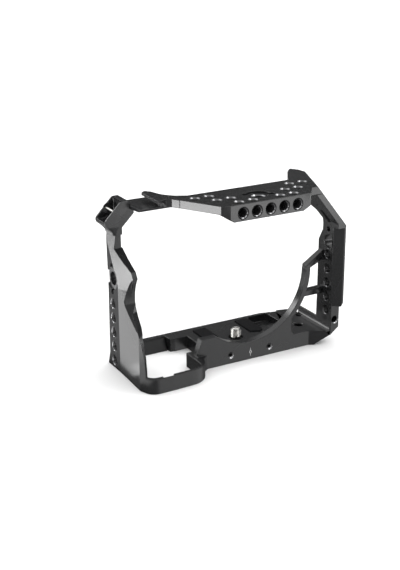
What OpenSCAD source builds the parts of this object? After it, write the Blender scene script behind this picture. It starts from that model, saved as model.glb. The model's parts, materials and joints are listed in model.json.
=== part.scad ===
// Camera cage: a machined light-alloy frame that wraps a mirrorless camera body,
// with a captive camera screw, non-slip pads and a stored driver.
// Seen from the front (lens) side: +X to the right, -Y to the front, +Z up.
// The origin is the middle of the bounding box, at its bottom.

/* [Overall] */
// Width, strap anchor to side rail
cage_w = 144; // [143:0.5:146]
// Height
cage_h = 106; // [102:1:112]
// Depth, front of the top block to the rear of the base
cage_d = 64; // [62:1:68]
// Lens axis, right of the middle
lens_x = 11.3; // [9:0.1:13]

/* [Camera bay] */
// Strap anchor's outside to the guard's inner face
anchor_w = 9.3; // [8.8:0.1:10]
// Thickness of the side plate
side_t = 6.2; // [5.6:0.1:7]
// Height of the seat
floor_t = 8.6; // [7.8:0.2:10]
// Front of the top block to the base's front face
setback = 20.3; // [18:0.1:24]

/* [Lens arc] */
// Height of the arc's centre
arc_z = 51; // [49:0.5:53]
// Inner radius of the arc
arc_r = 39.5; // [37.5:0.5:40]
// Radial thickness of the arc
arc_t = 3.1; // [2.4:0.1:4]
// Front wall and arc, front to rear
wall_t = 5.1; // [4:0.1:6]
// Height of the front wall at its left end
wall_h = 19.3; // [17:0.1:21]
// Height of the front wall right of the arc
sill_h = 9.6; // [9:0.1:11]

/* [Top plate] */
// Thickness of the plate
plate_t = 5; // [4:0.5:6]
// Height of the front block
block_h = 10; // [9:0.5:12]
// Width of the front block's face
block_w = 53.3; // [51:0.1:56]
// Front to rear of the block's full height
block_d = 9; // [8:0.5:12]
// Depth of the plate in front of the hot-shoe space
plate_d = 31.5; // [30:0.5:34]
// Thickness of the two rearward horns
horn_t = 1.8; // [1.2:0.1:3]
// Reach of the horns behind the plate
horn_reach = 21; // [16:0.5:22]

/* [Holes] */
// Pitch of the accessory holes
hole_pitch = 9.1; // [8.8:0.1:9.6]
// Tapped diameter of a 1/4"-20 hole
quarter_d = 5.3; // [5:0.1:5.6]
// Countersink diameter of a 1/4"-20 hole
quarter_sink_d = 7.2; // [6.6:0.1:7.6]
// Tapped diameter of a 3/8"-16 hole
three_eighth_d = 8.1; // [7.8:0.1:8.6]
// Diameter of the locating recess round a 3/8"-16 hole
locating_d = 13.6; // [12:0.2:15]
// Depth of that recess
locating_h = 0.9; // [0.5:0.1:1.5]
// Locating pin holes, centre to centre
pin_span = 16; // [15.6:0.1:17]
// Diameter of a locating pin hole
pin_d = 3.2; // [2.5:0.1:3.4]
// Depth of a blind accessory hole
blind_h = 7.5; // [6:0.5:8.5]
// Diameter of the two small holes in the base's front face
small_d = 3.2; // [2.5:0.1:4]

/* [Side plate] */
// Width of the side rail
rail_w = 21.2; // [20.6:0.1:21.8]
// Slanted part of the rail's edge
rail_bevel = 4.8; // [4:0.1:5]
// Lower end of the rail
rail_z0 = 26; // [24.5:0.5:28]

/* [Grip side] */
// Thickness of the grip post
post_t = 6.7; // [6:0.1:7.4]
// Depth of the grip post
post_d = 14.4; // [13.6:0.1:15]
// Wall of the battery door loop
loop_t = 3.1; // [2.6:0.1:3.6]
// Height of the battery door loop
loop_h = 9.2; // [8:0.2:10]
// Reach of the loop in front of the base
loop_reach = 15.9; // [14:0.1:17]

/* [Top bar] */
// Thickness of the bar
bar_t = 1.9; // [1.5:0.1:2.5]

/* [Camera screw] */
// Diameter of the 1/4"-20 thread
screw_d = 6.35; // [6:0.05:6.4]
// Height of the thread above the seat
screw_up = 5.8; // [5:0.1:6.5]
// Screw, behind the base's front face
screw_y = 17.3; // [16.5:0.1:18.5]
// Diameter of the screw head
head_d = 16.5; // [15.5:0.1:17.5]
// Thickness of the screw head
head_t = 2.2; // [2:0.1:2.4]
// Drop of the captive screw
screw_travel = 2; // [1.4:0.1:2.2]
// Diameter of the folding ring's pin
ring_pin_d = 0.9; // [0.7:0.1:1]

/* [Pads] */
// Thickness of the non-slip pads above the seat
pad_t = 0.8; // [0.5:0.1:1.2]
// Width of a pad
pad_w = 9; // [7:0.5:9.5]
// Length of a pad
pad_l = 19.5; // [16:0.5:20]

/* [Stored driver] */
// Length of the driver's blade
driver_l = 52; // [46:1:54]
// Width across the driver's blade
driver_w = 4; // [3.5:0.1:4.4]
// Clearance round the driver
driver_gap = 0.3; // [0.2:0.05:0.5]
// Diameter of a holding magnet
magnet_d = 5; // [4:0.1:5.6]

/* [Hidden] */
$fn = 64;
frame_colour = [0.16, 0.16, 0.17];
rubber_colour = [0.05, 0.05, 0.05];
steel_colour = [0.75, 0.75, 0.76];
big = 200;

// Planes of the cage
left_x = -cage_w / 2;
right_x = cage_w / 2;
front_y = -cage_d / 2;
rear_y = cage_d / 2;
face_y = front_y + setback;
wall_y = face_y + wall_t;
side_in = right_x - side_t;
guard_in = left_x + anchor_w;
post_out = guard_in - loop_t;
post_in = post_out + post_t;
plate_z = cage_h - plate_t;
plate_y = front_y + plate_d;

// Top block
block_left = lens_x + 0.35 - block_w / 2;
block_right = block_left + block_w;

// Base
wall_left = lens_x - 36.8;
wall_top_left = lens_x - 33.8;
wall_foot_left = lens_x - 29.8;
floor_left = lens_x - 25.9;
window_left = lens_x + 29.8;
wall_top = 20.4;
corner_x = side_in - 11.8;
pocket_z = 3.6;
bevel_x = side_in - 8.8;
bevel_rise = 0.74;
side_rear_y = rear_y - 14;
strip_y = rear_y - 10.7;
pad_y = wall_y + 13;
strip_thin_y = rear_y - 3.7;

// Side plate
side_face_y = front_y + 14.2;
side_front_y = front_y + 9.8;
side_rear = side_front_y + rail_w - 1.3;
rail_rear = side_front_y + rail_w;
side_hole_y = front_y + 19.7;
side_top = cage_h - 29;
lip_z = 14.4;

// Grip side
post_front = front_y + 42;
post_rear = post_front + post_d;
neck_front = post_rear - 10.4;
post_top = cage_h - 22;
slope_z = cage_h - 35.7;
neck_in = post_in - 0.8;
guard_front = face_y - loop_reach;
loop_split = guard_in + 5;
guard_skew = 40;
post_hole_y = post_front + 7.9;

// Camera screw
screw_pos_y = face_y + screw_y;
web_t = 1.6;
drop_gap = 0.1;
thread_sink = 0.3;
bore_h = floor_t - screw_travel - thread_sink - drop_gap - web_t;
washer_t = 0.5;
head_gap = 0.15;
head_top = bore_h - head_gap - washer_t - head_gap;
head_low = head_top - head_t;
ring_gap = 0.08;
pin_z = head_low / 2;
shank_gap = 0.2;
shank_d = quarter_d - 2 * shank_gap;
washer_gap = 0.05;
pin_gap = 0.05;
lug_gap = 0.15;
head_play = 0.4;
screw_tip = 0.8;
lug_x = 3.2;
ring_r = head_d / 2 - 1;

// Stored driver
driver_t = 2.4;
driver_y = rear_y - 6;
driver_x = lens_x + 18.5 - driver_l;
driver_low = 0.5;
groove_h = driver_low + driver_t + driver_gap;
magnet_t = 2;

// Outline in X and Z, extruded from y0 to y1
module along_y(points, y0, y1) {
    translate([0, y1, 0]) rotate([90, 0, 0]) linear_extrude(y1 - y0) polygon(points);
}

// Outline in Y and Z, extruded from x0 to x1
module along_x(points, x0, x1) {
    translate([x0, 0, 0]) rotate([90, 0, 90]) linear_extrude(x1 - x0) polygon(points);
}

// Outline in X and Y, extruded from z0 to z1
module along_z(points, z0, z1) {
    translate([0, 0, z0]) linear_extrude(z1 - z0) polygon(points);
}

// Points of an arc
function arc(cx, cy, r, a0, a1, n) = [for (i = [0:n]) let(a = a0 + (a1 - a0) * i / n) [cx + r * cos(a),
    cy + r * sin(a)]];

// Tapped hole with a countersink at its mouth, going down from the origin
module tapped(d, sink_d, depth) {
    translate([0, 0, -depth]) cylinder(h = depth + 1, d = d);
    translate([0, 0, -(sink_d - d) / 2]) cylinder(h = (sink_d - d) / 2 + 0.01, d1 = d,
        d2 = sink_d + 0.02);
    translate([0, 0, -0.001]) cylinder(h = 1, d = sink_d);
}

// Hole through a plate, countersunk on both faces, going down from the origin
module tapped_through(d, sink_d, depth) {
    tapped(d, sink_d, depth + 1);
    translate([0, 0, -depth]) mirror([0, 0, 1]) tapped(d, sink_d, 1);
}

// 3/8"-16 hole with its locating recess and pin holes on the line given by angle
module locating_hole(depth, angle, through) {
    translate([0, 0, -depth - 1]) cylinder(h = depth + 2, d = three_eighth_d);
    translate([0, 0, -locating_h]) cylinder(h = locating_h + 1, d = locating_d);
    for (s = [-1, 1])
        rotate([0, 0, angle]) translate([s * pin_span / 2, 0, through ? -depth - 1 : -2.5])
            cylinder(h = through ? depth + 2 : 3.5, d = pin_d);
}

// Everything on the outer side of the slanted shoulder face
module shoulder_cut() {
    translate([side_in - 15.9, front_y + 10, cage_h + 0.2]) rotate([0, 53.3, -21.7])
        translate([-big / 2, -big / 2, 0]) cube([big, big, big]);
}

// Everything outside the slanted facet at the top of the grip post
module facet_cut() {
    intersection() {
        translate([post_out, post_front - 1, 53.1]) rotate([0, 0, 12.2]) rotate([0, 6.6, 0])
            translate([-big, -big / 2, -big / 2]) cube([big, big, big]);
        along_x([[post_front - 61, 66.3], [post_front - 1, 53.1], [post_front + 60, 53.1],
            [post_front + 60, 150], [post_front - 61, 150]], post_out - 30, post_in + 30);
    }
}

// Everything outside the slanted facet below it
module lower_facet_cut() {
    intersection() {
        translate([post_out, post_front - 1, 53.1]) rotate([0, 0, 9.9]) rotate([0, 16.4, 0])
            translate([-big, -big / 2, -big / 2]) cube([big, big, big]);
        along_x([[post_front - 61, 66.31], [post_front - 1, 53.11], [post_front - 1, 10],
            [post_front - 61, 10]], post_out - 30, post_in + 30);
    }
}

// Underside bevel of the corner below the side plate
module corner_bevel() {
    along_y([[bevel_x, -0.01], [bevel_x + 60, bevel_rise * 60], [bevel_x + 60, -30], [bevel_x, -30]],
        front_y - 5, rear_y + 5);
}

module lens_bore() {
    translate([lens_x, 0, arc_z]) rotate([90, 0, 0]) cylinder(h = big, r = arc_r, center = true,
        $fn = 180);
}

module base_outline() {
    along_z([[floor_left, wall_y], [corner_x, wall_y], [side_in, wall_y], [side_in, rear_y - 8],
        [side_in - 3.5, rear_y - 5.6], [lens_x + 31, rear_y], [post_in + 3, rear_y],
        [post_in, rear_y - 3], [post_in, strip_thin_y], [floor_left - 12.4, strip_thin_y],
        [floor_left - 11.6, strip_y + 0.6], [floor_left - 8.6, strip_y], [floor_left, strip_y]], 0,
        floor_t);
}

module base_plate() {
    color(frame_colour) difference() {
        union() {
            base_outline();
            // Slanted foot of the thin rear strip
            along_x([[strip_thin_y - 4, 0], [strip_thin_y + 1, 0], [strip_thin_y + 1, floor_t - 1],
                [strip_thin_y, floor_t - 1]], post_in, floor_left - 12.4);
            // Front wall up to the lens arc
            along_y([[wall_foot_left, 0], [side_in, 0], [side_in, sill_h], [window_left + 2.3, sill_h],
                [window_left, sill_h + 2.3], [window_left, wall_top], [lens_x, wall_top],
                [lens_x, wall_h], [wall_top_left, wall_h], [wall_left, loop_h],
                [wall_foot_left, loop_h]], face_y, wall_y);
            // Raised floor right of the arc
            along_z([[window_left + 2, wall_y], [side_in, wall_y], [side_in, rear_y - 8],
                [side_in - 3.5, rear_y - 5.6], [side_in - 10.5, rear_y - 3.8],
                [window_left + 12, wall_y + 8]], 0, sill_h);
            // Corner that steps forward to the side plate
            along_z([[corner_x, face_y], [side_in, side_face_y], [side_in, wall_y],
                [corner_x, wall_y]], 0, sill_h);
            // Fillet along the side plate
            difference() {
                along_y([[side_in - 3.2, sill_h - 0.01], [side_in, sill_h - 0.01],
                    [side_in, sill_h + 3.2]], side_face_y, side_rear_y - 1.4);
                translate([side_in - 3.2, 0, sill_h + 3.2]) rotate([90, 0, 0])
                    cylinder(h = big, r = 3.2, center = true);
            }
        }
        lens_bore();
        corner_bevel();
        // Pocket in the seat
        seat_pocket();
        // Bevel along the rear edge
        along_x([[rear_y - 0.8, floor_t + 0.01], [rear_y + 1, floor_t + 0.01],
            [rear_y + 1, floor_t - 1.8]], left_x, right_x);
        // Camera screw: head below, thread above
        translate([lens_x, screw_pos_y, -1]) cylinder(h = bore_h + 1, d = head_d + 2 * head_play);
        translate([lens_x, screw_pos_y, -1]) cylinder(h = 20, d = quarter_d);
        translate([lens_x, screw_pos_y, bore_h + web_t]) cylinder(h = 20, d = 9.2);
        // 1/4"-20 hole in the raised floor
        translate([side_in - 11.3, wall_y + 7.2, sill_h]) tapped_through(quarter_d, 6.6, sill_h);
        translate([side_in - 2.1, wall_y + 20.1, sill_h]) tapped(3.3, 5, 5);
        // Small holes in the front face for a lens support
        for (dx = [-13.6, 13.8])
            translate([lens_x + dx, face_y, 5.4]) rotate([90, 0, 0]) tapped(small_d - 0.8, small_d,
                4.2);
        // Channel and magnets of the stored driver
        translate([driver_x - driver_gap, driver_y - driver_w / 2 - driver_gap, -1])
            cube([driver_l + 2 * driver_gap, driver_w + 2 * driver_gap, groove_h + 1]);
        for (x = [0.25, 0.8])
            translate([driver_x + driver_l * x, driver_y, 0]) cylinder(h = groove_h + magnet_t,
                d = magnet_d);
    }
}

// Pocket with round corners, open to the top
module seat_pocket() {
    x0 = lens_x + 21.7;
    x1 = lens_x + 37;
    y0 = wall_y + 15.2;
    y1 = rear_y - 3;
    translate([x0 + 3, y0, pocket_z]) cube([x1 - x0 - 6, y1 - y0, 20]);
    translate([x0, y0 + 3, pocket_z]) cube([x1 - x0, y1 - y0 - 6, 20]);
    for (x = [x0 + 3, x1 - 3], y = [y0 + 3, y1 - 3])
        translate([x, y, pocket_z]) cylinder(h = 20, r = 3);
}

module loop_outline() {
    polygon(concat([[post_out, post_front], [post_out - 1.1, guard_front + 9]],
        arc(post_out + 7.4, guard_front + 7.4, 7.4, 195, 270, 10),
        [[guard_in + 13, guard_front + 0.1]], arc(lens_x - 48.2, guard_front + 14.7, 14, -90, -10, 8),
        [[wall_foot_left, face_y], [wall_foot_left, wall_y], [floor_left, wall_y],
        [floor_left, wall_y + 4.4], [lens_x - 39.3, wall_y + 4.4]],
        arc(lens_x - 43.3, guard_front + loop_t + 4.6, 4, 0, -90, 6),
        [[guard_in + 16, guard_front + loop_t]], arc(guard_in + 4.2, guard_front + loop_t + 5, 5, 270,
        180, 8), [[guard_in - 0.8, post_front]]));
}

module battery_loop() {
    color(frame_colour) difference() {
        linear_extrude(loop_h) loop_outline();
        translate([-big, -big / 2, -1]) cube([big + loop_split, big, big]);
        // Shallow notch for the door's catch
        translate([guard_in + 7.4, guard_front + 1.3, loop_h - 1.2]) cube([7, 3, 3]);
    }
}

// Side view of the guard, given on its outer face, with k for the slant of its front edge
module guard_outline(k) {
    polygon([for (p = [[post_front + 2, -1], [post_front + 2, slope_z + 9.7],
        [guard_front + 8, slope_z + 9.7], [guard_front + 20.6, 55], [guard_front + 22.4, 45],
        [guard_front + 21, 42], [guard_front + 17.5, 39.3], [guard_front + 12.4, 36],
        [guard_front + 9, 32.3], [guard_front + 7, 26.4], [guard_front + 5.2, 20.9],
        [guard_front + 4.4, 14], [guard_front + 4.2, loop_h], [guard_front - 20, loop_h],
        [guard_front - 20, -1]]) [p[0] * k, p[1]]]);
}

module grip_guard() {
    color(frame_colour) difference() {
        intersection() {
            union() {
                intersection() {
                    linear_extrude(54) loop_outline();
                    translate([-big, -big / 2, 0]) cube([big + loop_split, big / 2 + post_front, big]);
                }
                // Thicker part beside the fingers
                along_y([[post_out, 30], [guard_in, 33], [post_in, 42], [post_in, slope_z + 9.7],
                    [post_out, slope_z + 9.7]], guard_front + 8, post_front);
            }
            // Front edge of the wall, ruled at an angle
            translate([post_out, 0, 0]) rotate([0, 0, guard_skew]) translate([-20, 0, 0])
                rotate([90, 0, 90]) linear_extrude(60) guard_outline(cos(guard_skew));
            // Slope of the top and the nose
            along_x([[post_front, 0], [post_front, slope_z + 1.4], [post_front - 2.1, slope_z],
                [guard_front + 26.6, slope_z - 4.6], [guard_front + 24.2, slope_z - 8.3],
                [guard_front + 24.2, 50], [guard_front - 5, 50], [guard_front - 5, 0]], post_out - 5,
                post_in + 9);
        }
        // Finger hollow, wider at the outer face
        intersection() {
            union() {
                translate([post_out - 3, guard_front + 4.5, 48.5]) rotate([0, 90, 0])
                    cylinder(h = 20, r = 24, $fn = 120);
                translate([post_out - 2.4, guard_front + 15.2, 52.2]) rotate([0, 90, 0])
                    cylinder(h = 6.6, r1 = 14.9, r2 = 13.3, $fn = 96);
            }
            along_x([[guard_front + 29.1, 46.9], [guard_front + 23.4, 42.6], [guard_front + 17, 38.8],
                [guard_front + 12.4, 36], [guard_front - 12, 30], [guard_front - 12, 75],
                [guard_front + 36, 75], [guard_front + 36, 52]], post_out - 5, post_in + 5);
        }
        facet_cut();
        lower_facet_cut();
    }
}

module grip_post() {
    color(frame_colour) difference() {
        along_x([[post_front, 0], [post_rear + 2.6, 0], [post_rear, 8.3], [post_rear - 1, 50],
            [post_rear, post_top], [neck_front, post_top], [neck_front, post_top - 7],
            [post_front + 4, post_top - 7], [post_front, slope_z + 5.3]], post_out, post_in);
        facet_cut();
        // Sloping top of the guard runs on to the neck
        along_x([[post_front + 6, slope_z + 5.2], [post_front + 6, slope_z + 19.7],
            [post_front - 30, slope_z + 19.7], [post_front - 2.1, slope_z]], post_out - 1, post_in + 1);
        translate([post_out, post_hole_y, 57]) rotate([0, -90, 0]) locating_hole(post_t, 0, false);
        for (i = [0:4])
            translate([post_out, post_hole_y, 4.8 + i * hole_pitch]) rotate([0, -90, 0])
                tapped_through(quarter_d, quarter_sink_d, post_t);
        // Neck
        translate([neck_in, 0, slope_z + 5.2]) cube([5, big, 20]);
    }
}

module strap_anchor() {
    color(frame_colour) difference() {
        union() {
            // Arm up to the bar
            along_y([[post_out, post_top], [neck_in, post_top], [neck_in, post_top + 4.2],
                [guard_in + 10.5, plate_z - 5.2], [guard_in + 10.5, plate_z], [guard_in + 4, plate_z],
                [left_x + 8, plate_z], [left_x + 3.2, post_top + 8.6]], neck_front, post_rear);
            // Head with the rim of the hollow
            along_y(concat([[left_x + 3.6, post_top + 4.2], [post_out - 0.8, post_top + 2.2],
                [post_out + 0.2, post_top], [post_out + 1.6, post_top],
                [guard_in + 0.4, plate_z - 6.4], [guard_in + 7, plate_z],
                [guard_in + 5.4, cage_h - 1.2]], arc(guard_in + 2.5, cage_h - 3.9, 2.7, 90, 135, 4),
                arc(left_x + 3, post_top + 8.6, 3, 135, 215, 6)), post_rear - 13.4, post_rear);
        }
        // Hollow corner that the strap passes through
        along_y([[left_x - 6, plate_z - 5.8], [left_x + 3.6, post_top + 8.4],
            [guard_in + 1.5, plate_z - 7], [guard_in + 1.5, cage_h - 3.4], [left_x + 8, cage_h + 6]],
            post_rear - 11, post_rear - 1.8);
        // Front corner bevel
        along_x([[post_rear - 14, post_top - 1], [neck_front, post_top - 1], [neck_front, post_top],
            [post_rear - 13.4, post_top + 6], [post_rear - 14, post_top + 6]], left_x - 1, lens_x);
    }
    color(frame_colour) translate([guard_in - 3.5, post_rear - 11.5, plate_z - 1.7]) rotate([0, 45, 0])
        translate([-1.2, 0, -0.6]) cube([2.4, 10.2, 2.2]);
}

module top_bar() {
    color(frame_colour) intersection() {
        along_x([[plate_y + 2.7, plate_z], [plate_y + 2.7, plate_z - 0.5],
            [plate_y + 3.7, plate_z - bar_t], [post_rear, plate_z - bar_t], [post_rear, plate_z]],
            guard_in + 4, lens_x - 40);
        along_z([[guard_in + 10.5, post_rear], [guard_in + 10.5, neck_front],
            [guard_in + 7, neck_front], [guard_in + 7, post_rear - 13.4],
            [guard_in + 8.4, plate_y + 2.7], [lens_x - 45, plate_y + 2.7],
            [lens_x - 45, plate_y + 10.5], [lens_x - 50, post_rear]], 0, big);
    }
}

module plate_outline() {
    polygon([[block_left, front_y], [block_right, front_y], [lens_x + 34.5, front_y + 9.6],
        [side_in + 5.5, front_y + 9.6], [side_in + 5.5, plate_y + 7], [lens_x + 36.4, plate_y + 7],
        [lens_x + 34.6, plate_y + 4.6], [lens_x + 32.1, plate_y], [lens_x - 36.5, plate_y],
        [lens_x - 43, plate_y + 3.5], [lens_x - 46, plate_y + 6.5], [lens_x - 52.5, plate_y + 6.5],
        [lens_x - 52.5, plate_y - 1.6], [lens_x - 50.4, plate_y - 0.9], [lens_x - 47.8, plate_y - 2.6],
        [lens_x - 31.3, front_y + 1.7]]);
}

module horn_outline() {
    polygon([[lens_x - 47.8, plate_y - 2.6], [lens_x - 50.4, plate_y - 0.9],
        [lens_x - 57, plate_y - 3.2], [lens_x - 56.4, plate_y + horn_reach - 2],
        [lens_x - 53.8, plate_y + horn_reach], [lens_x - 50.7, plate_y + horn_reach - 3],
        [lens_x - 48.6, plate_y + 10.4], [lens_x - 43.6, plate_y + 3.4], [lens_x - 36.5, plate_y]]);
    polygon([[lens_x + 32.1, plate_y - 1], [lens_x + 34.6, plate_y + 4.6],
        [side_in - 12.2, plate_y + horn_reach - 4.7], [side_in - 8.5, plate_y + horn_reach - 0.6],
        [side_in - 6.6, plate_y + horn_reach + 0.6], [side_in - 3.6, plate_y + horn_reach - 4.1],
        [side_in - 2.7, plate_y + horn_reach - 10.2], [side_in + 5.5, plate_y - 6],
        [lens_x + 40, plate_y - 6]]);
}

module top_plate() {
    color(frame_colour) difference() {
        union() {
            difference() {
                translate([0, 0, plate_z]) linear_extrude(plate_t) plate_outline();
                // The plate's right end thins out behind the block
                translate([lens_x + 36, plate_y - 1, plate_z - 1])
                    cube([big, big, plate_t - horn_t - 1.2]);
            }
            translate([0, 0, cage_h - horn_t]) linear_extrude(horn_t) horn_outline();
            along_y([[lens_x - 31.6, plate_z + 0.01], [lens_x - 24, cage_h - block_h],
                [lens_x + 22.5, cage_h - block_h], [block_right, cage_h - block_h + 2.4],
                [block_right, plate_z + 0.01]], front_y, front_y + block_d);
        }
        shoulder_cut();
        // Corner in front of the plate's slanted left side
        along_z([[lens_x - 45, front_y + 25], [lens_x - 31.3, front_y + 1.7], [block_left, front_y],
            [block_left, front_y - 5], [lens_x - 60, front_y - 5]], cage_h - block_h - 1, cage_h + 1);
        translate([lens_x, front_y + 13.9, cage_h]) locating_hole(plate_t, -22, true);
        for (p = [[-4, 1], [-3, 1], [-3, 0], [-2, 0], [-2, -1], [-1, -1], [1, -1], [2, -1], [2, 0],
            [3, 0], [3, 1], [4, 1]])
            translate([lens_x + p[0] * hole_pitch, front_y + 13.9 + p[1] * hole_pitch, cage_h])
                tapped(quarter_d, quarter_sink_d - 0.6, p[1] < 0 ? 3.5 : plate_t + 1);
        for (i = [-2:2])
            translate([lens_x + i * hole_pitch, front_y, cage_h - block_h / 2 - 0.3]) rotate([90, 0, 0])
                tapped(quarter_d, quarter_sink_d, blind_h);
    }
}

module shoulder_arm() {
    arm_rear = [[side_front_y, side_top], [side_rear - 4.2, side_top], [side_rear - 3.2, side_top + 5],
        [side_rear - 2.8, side_top + 9], [side_rear + 0.2, side_top + 11],
        [side_rear + 8, side_top + 16], [plate_y + 8, plate_z], [side_front_y, plate_z]];
    color(frame_colour) difference() {
        intersection() {
            along_y([[side_in, side_top], [right_x, side_top], [right_x, plate_z],
                [side_in - 16.6, plate_z], [side_in, plate_z - 20.8]], front_y, rear_y);
            along_x(arm_rear, lens_x, right_x);
        }
        shoulder_cut();
        // Long slot and its small hole
        translate([side_in - 0.4, side_hole_y, side_top + 3.4]) rotate([0, -38.6, 0]) {
            round_slot(3.4, 10.6);
            translate([0, 0, 13.4]) rotate([0, 90, 0]) cylinder(h = 20, d = 2, center = true);
        }
    }
}

// Round-ended slot along Z, cut along X
module round_slot(w, l) {
    translate([-10, -w / 2, 0]) cube([20, w, l - w]);
    for (z = [0, l - w])
        translate([0, 0, z]) rotate([0, 90, 0]) cylinder(h = 20, d = w, center = true);
}

module side_plate() {
    low = [[side_in, side_face_y - 0.4], [right_x, side_face_y - 0.4], [right_x, rail_rear],
        [side_in + 1.3, rail_rear], [side_in, side_rear]];
    rail = [[side_in, side_front_y + rail_bevel], [side_in + rail_bevel, side_front_y],
        [right_x, side_front_y], [right_x, rail_rear], [side_in + 4.8, rail_rear],
        [side_in + 2.2, rail_rear - 2.6], [side_in + 0.9, side_rear], [side_in, side_rear]];
    color(frame_colour) difference() {
        union() {
            along_z(low, 0, rail_z0);
            along_z(rail, rail_z0, side_top);
            // Low wall behind the plate
            along_z([[side_in, side_rear], [side_in + 1.3, rail_rear], [side_in + 1.3, side_rear_y],
                [side_in, side_rear_y]], 0, lip_z);
        }
        corner_bevel();
        // Lower outer corner of the rail
        along_y([[right_x - 1.6, rail_z0], [right_x + 1, rail_z0], [right_x + 1, rail_z0 + 4.2]],
            front_y, side_face_y - 0.4);
        // Rear edge steps in at the top
        along_x([[side_rear + 0.1, side_top - 11.4], [side_rear - 4, side_top - 4],
            [side_rear - 4.8, side_top + 13], [side_rear + 8, side_top + 13],
            [side_rear + 8, side_top - 11.4]], side_in - 1, side_in + 2.2);
        translate([side_in, side_hole_y - 0.4, side_top - 10.4]) rotate([0, -90, 0])
            tapped_through(three_eighth_d, three_eighth_d + 0.8, right_x - side_in);
        translate([side_in - 1, side_hole_y, side_top - 2.4]) rotate([0, 90, 0])
            cylinder(h = 20, d = pin_d);
        for (i = [0:4])
            translate([side_in, side_hole_y, 21.9 + i * hole_pitch]) rotate([0, -90, 0])
                tapped_through(quarter_d, quarter_d + 0.8, right_x - side_in);
        translate([(side_in + right_x) / 2, side_face_y - 0.4, 16.6]) rotate([90, 0, 0])
            tapped(4.2, 5.3, 9);
    }
}

module lens_arc() {
    color(frame_colour) intersection() {
        translate([lens_x, wall_y, arc_z]) rotate([90, 0, 0]) difference() {
            cylinder(h = wall_t, r = arc_r + arc_t, $fn = 180);
            translate([0, 0, -1]) cylinder(h = wall_t + 2, r = arc_r, $fn = 180);
        }
        along_y([[lens_x + 10, wall_top], [lens_x + 60, wall_top], [lens_x + 60, arc_z + 0.4],
            [lens_x + 10, arc_z + 0.4]], front_y, rear_y);
    }
}

// Strut from the arc at x to the side plate: heights z0 to z1 at the arc, z2 to z3 at the plate
module strut(x, z0, z1, z2, z3) {
    hull() {
        translate([x, face_y, z0]) cube([2.6, wall_t, z1 - z0]);
        translate([side_in - 0.1, side_rear - 5.4, z2]) cube([0.1, 4, z3 - z2]);
    }
}

module arc_struts() {
    color(frame_colour) {
        strut(lens_x + arc_r + 0.3, arc_z + 0.4, arc_z + 2.2, arc_z + 2.8, arc_z + 9);
        difference() {
            strut(lens_x + arc_r - 2, arc_z - 17.6, arc_z - 14.4, arc_z - 19.4, arc_z - 15.2);
            translate([lens_x, 0, arc_z]) rotate([90, 0, 0]) cylinder(h = big, r = arc_r + arc_t,
                center = true, $fn = 180);
        }
    }
}

module left_pad() {
    color(rubber_colour) along_z([[lens_x - 19.5, pad_y], [lens_x - 19.5 + pad_w, pad_y],
        [lens_x - 19.5 + pad_w, pad_y + pad_l], [lens_x - 19.5, pad_y + pad_l]], floor_t,
        floor_t + pad_t);
}

module right_pad() {
    color(rubber_colour) along_z([[lens_x + 11.5, pad_y + 0.8], [lens_x + 11.5 + pad_w * 0.64,
        pad_y - 1.6], [lens_x + 11.5 + pad_w, pad_y + 0.8],
        [lens_x + 11.5 + pad_w, pad_y + 0.8 + pad_l], [lens_x + 11.5, pad_y + 0.8 + pad_l]], floor_t,
        floor_t + pad_t);
}

module top_pad() {
    color(rubber_colour) along_z([[lens_x - 14, front_y + block_d + 2.5],
        [lens_x + 14, front_y + block_d + 2.5], [lens_x + 14, plate_y - 4.5],
        [lens_x - 14, plate_y - 4.5]], plate_z - pad_t, plate_z);
}

module thrust_washer() {
    color(rubber_colour) translate([lens_x, screw_pos_y, head_top + head_gap]) difference() {
        cylinder(h = washer_t, d = head_d - 2);
        translate([0, 0, -1]) cylinder(h = 3, d = shank_d + 2 * washer_gap);
    }
}

module camera_screw() {
    color(steel_colour) translate([lens_x, screw_pos_y, 0]) difference() {
        union() {
            translate([0, 0, head_low]) cylinder(h = head_t, d = head_d);
            translate([0, 0, head_low + 0.1]) cylinder(h = floor_t - head_low - 0.1, d = shank_d);
            translate([0, 0, floor_t - thread_sink]) cylinder(h = screw_up + thread_sink - screw_tip,
                d = screw_d);
            translate([0, 0, floor_t + screw_up - screw_tip])
                cylinder(h = screw_tip, d1 = screw_d, d2 = screw_d - 2 * screw_tip);
            translate([-lug_x, -1.4, 0.1]) cube([2 * lug_x, 2.8, head_low]);
        }
        translate([-10, 0, pin_z]) rotate([0, 90, 0]) cylinder(h = 20, d = ring_pin_d);
    }
}

module ring_pin() {
    color(steel_colour) translate([lens_x - lug_x - 2, screw_pos_y, pin_z]) rotate([0, 90, 0])
        cylinder(h = 2 * (lug_x + 2), d = ring_pin_d);
}

module folding_ring() {
    t = head_low - 2 * ring_gap;
    color(steel_colour) translate([lens_x, screw_pos_y, ring_gap]) difference() {
        union() {
            difference() {
                cylinder(h = t, r = ring_r);
                translate([0, 0, -1]) cylinder(h = t + 2, r = ring_r - 1.9);
                translate([-20, 0, -1]) cube([40, 20, t + 2]);
            }
            for (s = [-1, 1])
                translate([s > 0 ? lug_x + lug_gap : -ring_r + 0.2, 0, 0]) {
                    translate([0, -1.1, 0]) cube([ring_r - lug_x - lug_gap - 0.2, 1.1, t]);
                    translate([0, 0, t / 2]) rotate([0, 90, 0])
                        cylinder(h = ring_r - lug_x - lug_gap - 0.2, d = t);
                }
        }
        translate([-10, 0, pin_z - ring_gap]) rotate([0, 90, 0])
            cylinder(h = 20, d = ring_pin_d + 2 * pin_gap);
    }
}

module stored_driver() {
    color(steel_colour) translate([driver_x, driver_y, driver_low]) difference() {
        translate([0, -driver_w / 2, 0]) cube([driver_l, driver_w, driver_t]);
        // Blade end
        for (s = [-1, 1])
            translate([driver_l, 0, driver_t / 2 + s * 0.5]) mirror([0, 0, s < 0 ? 1 : 0])
                rotate([0, 12, 0]) translate([-8, -5, 0]) cube([12, 10, 4]);
    }
}

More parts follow.
